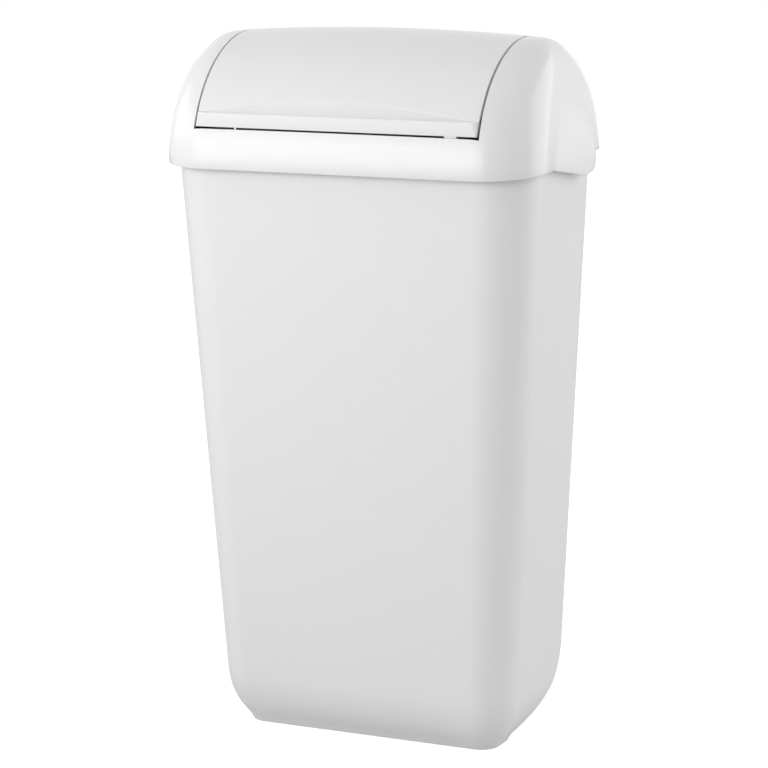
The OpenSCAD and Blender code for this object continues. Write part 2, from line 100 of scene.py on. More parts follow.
@dataclass(frozen=True)
class Plastic:
    """One moulded plastic.

    Its finish's value is also its material's name.
    """

    finish: Finish
    colour: tuple[float, float, float]
    roughness: float
    roughness_spread: float
    grain_size: float
    grain_depth: float
    sink_depth: float
    tint: float
    coat: float = 0.0
    specular: float = 0.5


PLASTICS = (
    Plastic(
        finish=Finish.TUB, colour=(0.89, 0.89, 0.885), roughness=0.36, roughness_spread=0.04,
        grain_size=0.55, grain_depth=0.010, sink_depth=0.05, tint=0.012, specular=0.45,
    ),
    Plastic(
        finish=Finish.HOOD, colour=(0.875, 0.875, 0.87), roughness=0.25, roughness_spread=0.03,
        grain_size=0.8, grain_depth=0.005, sink_depth=0.05, tint=0.010, coat=0.12,
    ),
    Plastic(
        finish=Finish.RING, colour=(0.55, 0.56, 0.57), roughness=0.5, roughness_spread=0.06,
        grain_size=0.6, grain_depth=0.012, sink_depth=0.04, tint=0.02, specular=0.45,
    ),
    Plastic(
        finish=Finish.PIN, colour=(0.70, 0.70, 0.68), roughness=0.38, roughness_spread=0.06,
        grain_size=0.5, grain_depth=0.008, sink_depth=0.02, tint=0.02,
    ),
)


class NodeTree:
    """A small helper that places and joins shader nodes."""

    def __init__(self, tree: bpy.types.NodeTree) -> None:
        """Takes the tree that the nodes go into."""
        self.tree = tree

    def add(self, kind: str, **values: object) -> bpy.types.Node:
        """Adds one node.

        Args:
            kind: the node's Blender type.
            values: its properties, and its inputs by name with spaces as underscores.

        Returns:
            The new node.
        """
        node = self.tree.nodes.new(kind)
        for name, value in values.items():
            socket = name.replace("_", " ")
            if socket in node.inputs:
                node.inputs[socket].default_value = value
            else:
                setattr(node, name, value)
        return node

    def join(self, source: bpy.types.NodeSocket, target: bpy.types.NodeSocket) -> None:
        """Links one socket to another."""
        self.tree.links.new(source, target)

    def maths(self, operation: str, a: object, b: object) -> bpy.types.NodeSocket:
        """Adds a Math node.

        Args:
            operation: the node's operation.
            a: its first input, a socket or a number.
            b: its second input, a socket or a number.

        Returns:
            The node's output socket.
        """
        node = self.add("ShaderNodeMath", operation=operation)
        for index, value in enumerate((a, b)):
            if isinstance(value, bpy.types.NodeSocket):
                self.join(value, node.inputs[index])
            else:
                node.inputs[index].default_value = value
        return node.outputs[0]


def cleared(owner: bpy.types.Material | bpy.types.World) -> NodeTree:
    """Empties a material's or world's node tree and gives a helper for it."""
    owner.use_nodes = True
    owner.node_tree.nodes.clear()
    return NodeTree(owner.node_tree)


def placed(name: str, data: bpy.types.ID) -> bpy.types.Object:
    """Makes an object from its data and links it into the scene."""
    thing = bpy.data.objects.new(name, data)
    bpy.context.scene.collection.objects.link(thing)
    return thing


@dataclass
class MouldedSurface:
    """The node group that every plastic here shares.

    It gives moulded plastic its fine grain, the slow sinks and swells of a large moulding,
    and slight drifts of tint and gloss.
    """

    slow_scale: float = 7.0
    cloud_scale: float = 38.0
    scuff_scale: float = 420.0
    pit_scale: float = 1900.0
    pit_share: float = 0.4
    group: bpy.types.NodeTree = field(init=False)

    def __post_init__(self) -> None:
        """Builds the group once."""
        self.group = bpy.data.node_groups.new("moulded_surface", "ShaderNodeTree")
        face = self.group.interface
        face.new_socket("Colour", in_out="INPUT", socket_type="NodeSocketColor")
        for name, start in (
            ("Tint Drift", 0.01), ("Gloss", 0.4), ("Gloss Drift", 0.05), ("Grain Size", 0.6),
            ("Grain Depth", 0.01), ("Sink Depth", 0.05),
        ):
            socket = face.new_socket(name, in_out="INPUT", socket_type="NodeSocketFloat")
            socket.default_value = start
        face.new_socket("Colour", in_out="OUTPUT", socket_type="NodeSocketColor")
        face.new_socket("Roughness", in_out="OUTPUT", socket_type="NodeSocketFloat")
        face.new_socket("Height", in_out="OUTPUT", socket_type="NodeSocketFloat")
        self._fill(NodeTree(self.group))

    def _fill(self, nodes: NodeTree) -> None:
        """Places the group's nodes.

        Args:
            nodes: the helper for the group's tree.
        """
        given = nodes.add("NodeGroupInput").outputs
        result = nodes.add("NodeGroupOutput").inputs
        place = nodes.add("ShaderNodeTexCoord").outputs["Object"]

        def noise(scale: float, detail: float, rough: float) -> bpy.types.NodeSocket:
            """A noise over the surface at one scale, in cells per metre."""
            node = nodes.add("ShaderNodeTexNoise", Scale=scale, Detail=detail, Roughness=rough)
            nodes.join(place, node.inputs["Vector"])
            return node.outputs["Fac"]

        slow = noise(self.slow_scale, 2.0, 0.45)
        cloud = noise(self.cloud_scale, 4.0, 0.55)
        scuff = noise(self.scuff_scale, 6.0, 0.65)
        fine = nodes.add("ShaderNodeTexNoise", Detail=3.0, Roughness=0.6)
        nodes.join(place, fine.inputs["Vector"])
        nodes.join(nodes.maths("DIVIDE", 1 / MM, given["Grain Size"]), fine.inputs["Scale"])
        pits = nodes.add("ShaderNodeTexVoronoi", Scale=self.pit_scale)
        nodes.join(place, pits.inputs["Vector"])

        drift = nodes.maths("SUBTRACT", nodes.maths("ADD", slow, cloud), 1.0)
        shade = nodes.maths("MULTIPLY", drift, given["Tint Drift"])
        tinted = nodes.add("ShaderNodeHueSaturation")
        nodes.join(given["Colour"], tinted.inputs["Color"])
        nodes.join(nodes.maths("ADD", 1.0, shade), tinted.inputs["Value"])
        nodes.join(tinted.outputs["Color"], result["Colour"])

        sheen = nodes.maths("SUBTRACT", nodes.maths("ADD", cloud, scuff), 1.0)
        gloss = nodes.maths("MULTIPLY", sheen, given["Gloss Drift"])
        nodes.join(nodes.maths("ADD", given["Gloss"], gloss), result["Roughness"])

        pitted = nodes.maths("MULTIPLY", pits.outputs["Distance"], self.pit_share)
        rough = nodes.maths("ADD", fine.outputs["Fac"], pitted)
        grain = nodes.maths("MULTIPLY", rough, given["Grain Depth"])
        sink = nodes.maths("MULTIPLY", slow, given["Sink Depth"])
        nodes.join(nodes.maths("ADD", grain, sink), result["Height"])


@dataclass
class Workshop:
    """Turns plastics into materials and point lists into dressed pieces."""

    bump_strength: float = 0.35
    plastic_ior: float = 1.49
    coat_roughness: float = 0.15
    barrel_steps: int = 64
    merge_distance: float = 0.01 * MM
    normal_weight: int = 80
    surface: MouldedSurface = field(default_factory=MouldedSurface)

    def __post_init__(self) -> None:
        """Builds one material for each plastic."""
        self.materials = {plastic.finish: self._material(plastic) for plastic in PLASTICS}

    def _material(self, plastic: Plastic) -> bpy.types.Material:
        """The material of one plastic.

        Args:
            plastic: the plastic's values.

        Returns:
            The new material.
        """
        material = bpy.data.materials.new(plastic.finish.value)
        nodes = cleared(material)
        skin = nodes.add("ShaderNodeGroup", node_tree=self.surface.group)
        skin.inputs["Colour"].default_value = (*plastic.colour, 1.0)
        for name, value in (
            ("Tint Drift", plastic.tint), ("Gloss", plastic.roughness),
            ("Gloss Drift", plastic.roughness_spread), ("Grain Size", plastic.grain_size),
            ("Grain Depth", plastic.grain_depth), ("Sink Depth", plastic.sink_depth),
        ):
            skin.inputs[name].default_value = value
        bump = nodes.add("ShaderNodeBump", Strength=self.bump_strength, Distance=MM)
        nodes.join(skin.outputs["Height"], bump.inputs["Height"])
        shader = nodes.add("ShaderNodeBsdfPrincipled", Metallic=0.0, IOR=self.plastic_ior)
        shader.inputs["Coat Weight"].default_value = plastic.coat
        shader.inputs["Coat Roughness"].default_value = self.coat_roughness
        shader.inputs["Specular IOR Level"].default_value = plastic.specular
        nodes.join(skin.outputs["Colour"], shader.inputs["Base Color"])
        nodes.join(skin.outputs["Roughness"], shader.inputs["Roughness"])
        nodes.join(bump.outputs["Normal"], shader.inputs["Normal"])
        out = nodes.add("ShaderNodeOutputMaterial")
        nodes.join(shader.outputs["BSDF"], out.inputs["Surface"])
        return material

    def mesh(self, name: str, points: list[Point], faces: list[Face]) -> bpy.types.Object:
        """Makes a mesh object.

        Args:
            name: the object's name.
            points: its points in millimetres.
            faces: its faces, each a list of point numbers.

        Returns:
            The new object, linked into the scene.
        """
        data = bpy.data.meshes.new(name)
        data.from_pydata([(x * MM, y * MM, z * MM) for x, y, z in points], [], faces)
        work = bmesh.new()
        work.from_mesh(data)
        bmesh.ops.recalc_face_normals(work, faces=work.faces)
        work.to_mesh(data)
        work.free()
        return placed(name, data)

    def prism(self, name: str, profile: list[Flat], low: float, high: float) -> bpy.types.Object:
        """Draws a [y, z] profile out along x.

        Args:
            name: the object's name.
            profile: the profile's points in millimetres.
            low: the lower x.
            high: the higher x.

        Returns:
            The new object.
        """
        points = [(x, y, z) for x in (low, high) for y, z in profile]
        return self.mesh(name, points, drawn_faces(len(profile)))

    def slab(self, name: str, outline: list[Flat], low: float, high: float) -> bpy.types.Object:
        """Draws an [x, y] outline up along z.

        Args:
            name: the object's name.
            outline: the outline's points in millimetres.
            low: the lower z.
            high: the higher z.

        Returns:
            The new object.
        """
        points = [(x, y, z) for z in (low, high) for x, y in outline]
        return self.mesh(name, points, drawn_faces(len(outline)))

    def barrel(
        self, name: str, centre: Flat, radius: float, low: float, high: float
    ) -> bpy.types.Object:
        """A cylinder along x.

        Args:
            name: the object's name.
            centre: its axis as (y, z).
            radius: its radius.
            low: the lower x.
            high: the higher x.

        Returns:
            The new object.
        """
        steps = self.barrel_steps
        ring = [
            (centre[0] + radius * math.cos(math.tau * i / steps),
             centre[1] + radius * math.sin(math.tau * i / steps))
            for i in range(steps)
        ]
        return self.prism(name, ring, low, high)

    def combine(
        self, base: bpy.types.Object, parts: list[bpy.types.Object], operation: str
    ) -> None:
        """Joins parts to a base, or cuts them out of it, and deletes them.

        Args:
            base: the object that is changed.
            parts: the objects that are joined or cut.
            operation: UNION or DIFFERENCE.
        """
        group = bpy.data.collections.new("combining")
        bpy.context.scene.collection.children.link(group)
        for part in parts:
            bpy.context.scene.collection.objects.unlink(part)
            group.objects.link(part)
        modifier = base.modifiers.new("combine", "BOOLEAN")
        modifier.operation = operation
        modifier.solver = "EXACT"
        modifier.operand_type = "COLLECTION"
        modifier.collection = group
        self.apply(base)
        for part in parts:
            bpy.data.objects.remove(part)
        bpy.data.collections.remove(group)

    def apply(self, piece: bpy.types.Object) -> None:
        """Bakes a piece's modifiers into its mesh.

        Args:
            piece: the piece.
        """
        bpy.context.view_layer.update()
        made = piece.evaluated_get(bpy.context.evaluated_depsgraph_get())
        fresh = bpy.data.meshes.new_from_object(made)
        piece.modifiers.clear()
        piece.data = fresh

    def smooth(self, piece: bpy.types.Object, angle: float = 32.0) -> None:
        """Shades a piece smooth, with edges sharper than the angle kept crisp.

        Args:
            piece: the piece.
            angle: the angle in degrees.
        """
        work = bmesh.new()
        work.from_mesh(piece.data)
        bmesh.ops.remove_doubles(work, verts=work.verts, dist=self.merge_distance)
        work.to_mesh(piece.data)
        work.free()
        piece.data.shade_smooth()
        piece.data.set_sharp_from_angle(angle=math.radians(angle))
        weighted = piece.modifiers.new("even_normals", "WEIGHTED_NORMAL")
        weighted.keep_sharp = True
        weighted.weight = self.normal_weight
        self.apply(piece)

    def dress(self, piece: bpy.types.Object, finish: Finish, body: str, *nodes: str) -> None:
        """Gives a piece its material and its body, and hides the CAD nodes that it replaces.

        Args:
            piece: the piece.
            finish: its finish.
            body: the body that it rides on.
            nodes: the CAD nodes that it replaces.
        """
        piece.data.materials.clear()
        piece.data.materials.append(self.materials[finish])
        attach(piece, body)
        if nodes:
            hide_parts(*nodes)
        LOG.info("%s: %d points, %s", piece.name, len(piece.data.vertices), finish.value)


@dataclass
class Tub:
    """The tapered tub with its upright back, rim flange and rounded foot."""

    rim_z: float = 494.0
    top_w: float = 322.0
    foot_w: float = 260.0
    front_top: float = 88.1
    front_foot: float = 50.5
    back: float = 92.0
    front_corner_top: float = 43.4
    front_corner_foot: float = 30.0
    rear_corner_top: float = 50.8
    rear_corner_foot: float = 27.0
    wall: float = 2.5
    foot_round: float = 60.0
    foot_round_h: float = 45.0
    corner_share: float = 0.8
    heel_in: float = 44.0
    heel_h: float = 75.0
    heel_pow: float = 2.3
    heel_round: float = 0.45
    ring_h: float = 6.0
    foot_step: float = 2.4
    ring_w: float = 6.0
    hollow: float = 2.0
    rim_out: float = 1.8
    rim_h: float = 7.0
    chamfer: float = 0.8
    bead: float = 0.4
    inner_round: float = 0.8
    inner_reach: float = 4.0
    corner_steps: int = 18
    round_steps: int = 18
    heel_steps: int = 6
    wall_steps: int = 10

    def foot_inset(self, z: float) -> float:
        """How far the foot's rounding moves the wall in at height z."""
        drop = max(0.0, self.foot_round_h - max(z, self.ring_h))
        return self.foot_round - math.sqrt(self.foot_round**2 - drop**2)

    def heel_inset(self, z: float) -> float:
        """How far the back wall has curved forward at height z."""
        share = max(0.0, self.heel_h - max(z, self.ring_h)) / (self.heel_h - self.ring_h)
        return self.heel_in * share**self.heel_pow

    def outline(self, z: float, inset: float) -> list[Point]:
        """One closed outline of the tub.

        Args:
            z: its height.
            inset: how far it lies inside the wall line.

        Returns:
            Its points, counter-clockwise from above.
        """
        u = z / self.rim_z
        moved = inset + self.foot_inset(z)
        rounded = inset + self.corner_share * self.foot_inset(z)
        hw = (self.foot_w + (self.top_w - self.foot_w) * u) / 2 - moved
        front = self.front_foot + (self.front_top - self.front_foot) * u - moved
        back = self.back - moved - self.heel_inset(z)
        rf = self.front_corner_foot + (self.front_corner_top - self.front_corner_foot) * u
        rr = self.rear_corner_foot + (self.rear_corner_top - self.rear_corner_foot) * u
        rf -= rounded
        rr += self.heel_round * self.heel_inset(z) - rounded
        points: list[Point] = []
        for x, y, r, start in (
            (hw - rf, rf - front, rf, -90), (hw - rr, back - rr, rr, 0),
            (rr - hw, back - rr, rr, 90), (rf - hw, rf - front, rf, 180),
        ):
            for i in range(self.corner_steps + 1):
                a = math.radians(start + 90 * i / self.corner_steps)
                points.append((x + r * math.cos(a), y + r * math.sin(a), z))
        return points

    def levels(self) -> list[Flat]:
        """The outlines' heights and insets, from the underside over the rim to the floor inside."""
        c, step, out, top = self.chamfer, self.foot_step, self.rim_out, self.rim_z
        bead = self.bead

        def spread(low: float, high: float, steps: int) -> list[float]:
            """Even heights from low, which is left out, to high."""
            return [low + (high - low) * i / steps for i in range(1, steps + 1)]

        curve = spread(self.ring_h, self.foot_round_h, self.round_steps)
        heel = spread(self.foot_round_h, self.heel_h, self.heel_steps)
        plain = spread(self.heel_h, top - self.rim_h, self.wall_steps)
        floor = self.hollow + self.wall
        inner = spread(floor, self.foot_round_h, self.round_steps)
        outside = [
            (self.hollow, step + self.ring_w + c), (0.0, step + self.ring_w), (0.0, step + c),
            (0.25 * c, step + 0.25 * c), (c, step), (0.5 * (c + self.ring_h), 0.44 * step),
            (0.9 * self.ring_h, 0.06 * step),
        ]
        outside += [(z, 0.0) for z in curve + heel + plain]
        rim = [
            (top - self.rim_h, -out + bead), (top - self.rim_h + bead, -out), (top - c, -out),
            (top - 0.3 * c, 0.3 * c - out), (top, c - out), (top, self.wall - bead),
            (top - bead, self.wall),
        ]
        inside = [(z, self.wall) for z in reversed(inner + heel + plain)]
        inside += [
            (floor + 0.75 * self.inner_round, self.wall + self.inner_round),
            (floor, self.wall + self.inner_reach),
        ]
        return outside + rim + inside

    def build(self, shop: Workshop) -> None:
        """Builds and dresses the tub.

        Args:
            shop: the workshop.
        """
        rings = [self.outline(z, inset) for z, inset in self.levels()]
        n, count = len(rings[0]), len(rings)
        faces: list[Face] = [
            (k * n + i, k * n + (i + 1) % n, (k + 1) * n + (i + 1) % n, (k + 1) * n + i)
            for k in range(count - 1) for i in range(n)
        ]
        faces += [tuple(range(n)), tuple(range((count - 1) * n, count * n))]
        piece = shop.mesh("bin_tub", [p for ring in rings for p in ring], faces)
        shop.smooth(piece)
        shop.dress(piece, Finish.TUB, "bin", "bin_body")


@dataclass
class Dome:
    """The shape that the hood and the flap share."""

    tub: Tub
    side_over: float = 5.5
    front_over: float = 11.2
    back_over: float = 7.6
    corner: float = 48.0
    height: float = 104.0
    drop: float = 12.5
    crown: float = 4.0
    crest_y: float = 6.0
    shoulder_pow: float = 0.46
    flap_side: float = 37.0
    gap: float = 1.3
    side_gap: float = 2.0
    sill_rise: float = 29.8
    sill_slope: float = 55.0
    rear_angle: float = 25.0
    round_share: float = 0.8
    pivot_front: float = 37.0
    pivot_rise: float = 79.5
    pin_r: float = 4.0
    boss_len: float = 5.5
    boss_r: float = 9.0
    web_depth: float = 9.0
    web_t: float = 2.5
    web_steps: int = 48
    lug_angles: tuple[float, float] = (50.0, 75.0)
    base_z: float = field(init=False)
    hw: float = field(init=False)
    front: float = field(init=False)
    back: float = field(init=False)

    def __post_init__(self) -> None:
        """Works out the sizes that follow from the others."""
        self.wall = self.tub.wall
        self.base_z = self.tub.rim_z - self.drop
        self.hw = self.tub.top_w / 2 + self.side_over
        self.front = self.tub.front_top + self.front_over
        self.back = self.tub.back + self.back_over
        self.front_r = self.front + self.crest_y
        self.back_r = self.back - self.crest_y
        self.flap_hw = self.tub.top_w / 2 - self.flap_side
        self.open_hw = self.flap_hw + self.side_gap
        self.crown_hw = self.flap_hw + self.gap / 2
        self.crest_hw = self.crown_hw + 0.2
        self.corner_x = self.hw - self.corner
        self.sill_z = self.base_z + self.sill_rise - self.gap / 2
        self.edge_z = self.base_z + self.sill_rise + self.gap / 2
        self.pivot = (-self.pivot_front, self.base_z + self.pivot_rise)
        self.rear_phi = 90 + self.rear_angle

    def rise(self, x: float) -> float:
        """The dome's height above its springing line at x."""
        return self.height + self.crown * (1 - (x / self.crown_hw) ** 2)

    def half_width(self, phi: float) -> float:
        """The dome's half width at angle phi in degrees."""
        share = abs(math.cos(math.radians(phi))) ** self.shoulder_pow
        return self.crest_hw + (self.hw - self.crest_hw) * share

    def corner_r(self, phi: float) -> float:
        """The radius of the dome's corners from above at angle phi."""
        depth = self.round_share * (self.front_r + self.back_r) / 2
        return min(self.half_width(phi) - self.corner_x, depth * abs(math.cos(math.radians(phi))))

    def phi(self, x: float, z: float, t: float) -> float:
        """The angle at which the dome, t in from its outside, reaches z at x."""
        return math.degrees(math.asin(clamp((z - self.base_z) / (self.rise(x) - t))))

    def at(self, x: float, phi: float, t: float) -> Flat:
        """A (y, z) point of the dome.

        Args:
            x: the place across the bin.
            phi: the angle from the front springing line; beyond 90 is behind the crest.
            t: how far in from the outside.

        Returns:
            The point.
        """
        r = self.corner_r(phi)
        e = max(0.0, abs(x) - self.half_width(phi) + r)
        drop = r - math.sqrt(max(0.0, r * r - e * e))
        reach = (self.back_r if phi > 90 else self.front_r) - t
        a = math.radians(phi)
        y = self.crest_y - reach * math.cos(a) + (-drop if phi > 90 else drop)
        return (y, self.base_z + (self.rise(x) - t) * math.sin(a))

    def y_at(self, x: float, z: float, t: float) -> float:
        """The dome's y at x and height z."""
        return self.at(x, self.phi(x, z, t), t)[0]

    def web(self, x: float, start: float, end: float, top: float) -> list[list[Flat]]:
        """The profiles of a web along the dome and of its lug round the pivot.

        Args:
            x: the web's place.
            start: the angle at which it starts.
            end: the angle at which it ends.
            top: how far in from the outside its outer edge lies.

        Returns:
            Two profiles as (y, z) points.
        """
        steps = self.web_steps
        angles = [start + (end - start) * i / steps for i in range(steps + 1)]
        band = [self.at(x, a, top) for a in angles]
        band += [self.at(x, a, self.wall + self.web_depth) for a in reversed(angles)]
        py, pz = self.pivot
        lug = [self.at(x, a, self.wall + self.web_depth / 2) for a in self.lug_angles]
        turns = [math.radians(a) for a in range(0, -181, -6)]
        lug += [
            (py + self.boss_r * math.cos(a), pz + self.boss_r * math.sin(a)) for a in turns
        ]
        return [band, lug]


@dataclass
class Hood:
    """The domed hood with its flap opening, grip lobes, ledge and cheeks."""

    dome: Dome
    skirt_drop: float = 16.2
    back_edge_drop: float = 2.5
    skirt_round: float = 1.0
    lobe_out: float = 3.6
    notch_y: float = -38.5
    notch_drop: float = 11.2
    lobe_low_y: float = 25.0
    lobe_low_drop: float = 20.3
    heel_y: float = 37.0
    heel_drop: float = 18.0
    lobe_rear_y: float = 50.3
    lobe_rise: float = 42.0
    lobe_return: float = 7.5
    lobe_lean: float = 0.4
    lobe_bend: float = 0.018
    ledge_in: float = 2.6
    ledge_t: float = 2.0
    ledge_gap: float = 2.1
    bore_play: float = 0.05
    rib_x: float = 60.0
    rib_t: float = 2.0
    rib_play: float = 0.3
    wide_drop: float = 4.0
    first_rise: float = 6.0
    inner_edge: float = 0.4
    low_angle: float = 5.0
    high_angle: float = 83.0
    corner_steps: int = 14
    front_steps: int = 28
    side_steps: int = 56
    dome_steps: int = 44

    def __post_init__(self) -> None:
        """Works out the heights that follow from the rim's."""
        rim = self.dome.tub.rim_z
        self.skirt_z = rim - self.skirt_drop
        self.notch_z = rim - self.notch_drop
        self.back_edge_z = rim - self.back_edge_drop
        self.wide_z = rim - self.wide_drop
        self.top_z = rim + self.lobe_rise
        heel = rim - self.heel_drop
        self.edge_line = [
            (-self.dome.front, self.skirt_z), (self.notch_y, self.notch_z),
            (self.lobe_low_y, rim - self.lobe_low_drop), (self.heel_y, heel),
            ((self.heel_y + 3 * self.lobe_rear_y) / 4, (self.back_edge_z + 2 * heel) / 3),
            (self.lobe_rear_y, self.back_edge_z),
        ]
        span = self.high_angle - self.low_angle
        self.angles = [
            self.low_angle + span * i / self.dome_steps for i in range(self.dome_steps + 1)
        ]

    def lobe(self, y: float, z: float) -> float:
        """How far a grip lobe swells out.

        Args:
            y: the place along the bin's depth.
            z: the height.

        Returns:
            The swelling, zero outside the lobe.
        """
        rear = self.lobe_rear_y - self.lobe_bend * (z - self.wide_z) ** 2
        front = self.notch_y + self.lobe_lean * (z - self.notch_z)
        high = max(0.0, (z - self.wide_z) / (self.top_z - self.wide_z))
        if high >= 1:
            return 0.0
        u = clamp((y - front) / (rear - self.lobe_return - front))
        v = clamp((rear - y) / self.lobe_return)
        return self.lobe_out * (1 - high**1.5) * u * v * v * (3 - 2 * v)

    def columns(self) -> list[Column]:
        """The hood's columns: share along x, share along y, outward x, outward y."""
        def corner(sx: float, sy: float, start: float) -> list[Column]:
            """The columns of one corner."""
            steps = self.corner_steps
            angles = [math.radians(start + 90 * i / steps) for i in range(steps + 1)]
            return [(sx, sy, math.cos(a), math.sin(a)) for a in angles]

        shares = [2 * (i / self.side_steps) ** 0.7 - 1 for i in range(1, self.side_steps)]
        across = [1 - 2 * i / self.front_steps for i in range(1, self.front_steps)]
        made = corner(1, -1, -90) + [(1, s, 1, 0) for s in shares] + corner(1, 1, 0)
        made += [(s, 1, 0, 1) for s in across] + corner(-1, 1, 90)
        made += [(-1, s, -1, 0) for s in reversed(shares)] + corner(-1, -1, 180)
        return made + [(-s, -1, 0, -1) for s in across]

    def place(self, c: Column, phi: float, t: float, out: float) -> Flat:
        """The (x, y) point of column c at angle phi.

        Args:
            c: the column.
            phi: the angle in degrees.
            t: how far in from the outside.
            out: how far it is moved out along the column's direction.

        Returns:
            The point.
        """
        d = self.dome
        cosine = math.cos(math.radians(phi))
        hw = d.half_width(phi) - t
        front = d.crest_y - (d.front_r - t) * cosine
        back = d.crest_y + (d.back_r - t) * cosine
        r = d.corner_r(phi) - t
        x = c[0] * (hw - r) + c[2] * (r + out)
        y = (front + back) / 2 + c[1] * ((back - front) / 2 - r) + c[3] * (r + out)
        return (x, y)

    def skirt_point(self, c: Column, z: float, t: float, inset: float) -> Point:
        """A point of column c at height z of the skirt."""
        phi = self.dome.phi(self.dome.hw, z, 0)
        y = self.place(c, phi, t, 0)[1]
        return (*self.place(c, phi, t, self.lobe(y, z) - inset), z)

    def dome_point(self, c: Column, phi: float, t: float) -> Point:
        """A point of column c at angle phi of the dome."""
        x, y = self.place(c, phi, t, 0)
        z = self.dome.base_z + (self.dome.rise(x) - t) * math.sin(math.radians(phi))
        return (*self.place(c, phi, t, self.lobe(y, z)), z)

    def skin(self, t: float) -> list[Point]:
        """All the points of one face of the hood.

        Args:
            t: how far in from the outside.

        Returns:
            The points, ring by ring, then the crest line.
        """
        cols = self.columns()
        d = self.dome
        low = [along(self.edge_line, self.place(c, 0, 0, 0)[1]) for c in cols]
        first = [
            max(z + self.first_rise, self.dome_point(c, self.low_angle, t)[2])
            for c, z in zip(cols, low)
        ]
        r = self.skirt_round
        points: list[Point] = []
        edges = (r, 0.3 * r, 0.0) if t == 0 else (self.inner_edge, 0.0, 0.0)
        for up, inset in zip((0.0, 0.3 * r, 1.2 * r), edges):
            points += [self.skirt_point(c, z + up, t, inset) for c, z in zip(cols, low)]
        for share in (0.3, 0.6, 1.0):
            points += [
                self.skirt_point(c, z + 1.2 * r + (top - z - 1.2 * r) * share, t, 0)
                for c, z, top in zip(cols, low, first)
            ]
        for phi in self.angles:
            ring = [self.dome_point(c, phi, t) for c in cols]
            if all(p[2] > z + 1 for p, z in zip(ring, first)):
                points += ring
        top = self.angles[-1]
        line = d.half_width(top) - d.corner_r(top)
        for i in range(self.front_steps + 1):
            x = (2 * i / self.front_steps - 1) * line
            points.append((x, d.crest_y, d.base_z + d.rise(x) - t))
        return points

    def skin_faces(self, start: int, total: int) -> list[Face]:
        """The faces over one side of the hood.

        Args:
            start: the number of its first point.
            total: how many points it has.

        Returns:
            The faces.
        """
        n = len(self.columns())
        steps = self.front_steps
        rings = (total - steps - 1) // n
        faces: list[Face] = [
            (start + k * n + i, start + k * n + (i + 1) % n,
             start + (k + 1) * n + (i + 1) % n, start + (k + 1) * n + i)
            for k in range(rings - 1) for i in range(n)
        ]
        top, crest = start + (rings - 1) * n, start + rings * n
        right = 2 * self.corner_steps + self.side_steps
        left = right + steps
        faces += [(crest + steps, top + i, top + i + 1) for i in range(right)]
        faces += [
            (crest + steps - j, crest + steps - j - 1, top + right + j + 1, top + right + j)
            for j in range(steps)
        ]
        faces += [(crest, top + i, top + i + 1) for i in range(left, left + right)]
        faces += [
            (crest + j, crest + j + 1, top + (left + right + j + 1) % n, top + left + right + j)
            for j in range(steps)
        ]
        return faces

    def opening(self) -> list[Flat]:
        """The profile that the flap's opening takes out of the hood."""
        d = self.dome
        y, z = d.at(0, d.phi(0, d.sill_z, 0), 0)
        a = math.radians(d.sill_slope)
        run = (math.cos(a), -math.sin(a))
        rear = d.rear_phi + math.degrees(math.asin(d.gap / d.back_r))
        outer, inner = d.at(0, rear, -2 * d.wall), d.at(0, rear, 3 * d.wall)
        high = d.base_z + d.height + 10 * d.wall
        return [
            (y - 3 * d.wall * run[0], z - 3 * d.wall * run[1]),
            (y + 4 * d.wall * run[0], z + 4 * d.wall * run[1]),
            inner, outer, (outer[0], high), (y - 3 * d.wall * run[0], high),
        ]

    def ledge(self, shop: Workshop) -> bpy.types.Object:
        """The flat ledge inside that rests over the bag ring.

        Args:
            shop: the workshop.

        Returns:
            The ledge as its own object.
        """
        low = self.dome.tub.rim_z + self.ledge_gap
        high = low + self.ledge_t
        phi = self.dome.phi(self.dome.hw, low, 0)
        outer = [self.place(c, phi, self.dome.wall / 2, 0) for c in self.columns()]
        inner = [p[:2] for p in self.dome.tub.outline(self.dome.tub.rim_z, self.ledge_in)]
        plate = shop.slab("ledge", outer, low, high)
        shop.combine(plate, [shop.slab("ledge_hole", inner, low - 1, high + 1)], "DIFFERENCE")
        return plate

    def ribs(self, shop: Workshop) -> list[bpy.types.Object]:
        """The ribs that centre the hood on the tub's rim.

        Args:
            shop: the workshop.

        Returns:
            The four ribs.
        """
        d = self.dome
        top = d.tub.rim_z + self.ledge_gap + self.ledge_t / 2
        play = d.tub.rim_out + self.rib_play
        spans = (
            (d.wall / 2 - d.front, -(d.tub.front_top + play), self.skirt_z + 2 * self.skirt_round),
            (d.tub.back + play, d.back - 0.6 * d.wall, self.back_edge_z + self.skirt_round),
        )
        return [
            shop.prism(
                "rib", [(y0, z0), (y1, z0 + 0.8), (y1, top), (y0, top)],
                side * self.rib_x - self.rib_t / 2, side * self.rib_x + self.rib_t / 2,
            )
            for side in (-1, 1) for y0, y1, z0 in spans
        ]

    def cheeks(self, shop: Workshop) -> list[bpy.types.Object]:
        """The webs beside the opening.

        Args:
            shop: the workshop.

        Returns:
            The webs, lugs and bosses.
        """
        d = self.dome
        start = d.phi(d.open_hw, d.sill_z, 0) + 3
        made = []
        for side in (-1, 1):
            low, high = sorted((side * d.open_hw, side * (d.open_hw + d.web_t)))
            made += [
                shop.prism("cheek", profile, low, high)
                for profile in d.web(d.open_hw, start, d.rear_phi, 0.7 * d.wall)
            ]
            low, high = sorted((side * d.open_hw, side * (d.open_hw + d.boss_len)))
            made.append(shop.barrel("hood_boss", d.pivot, d.boss_r - 1, low, high))
        return made

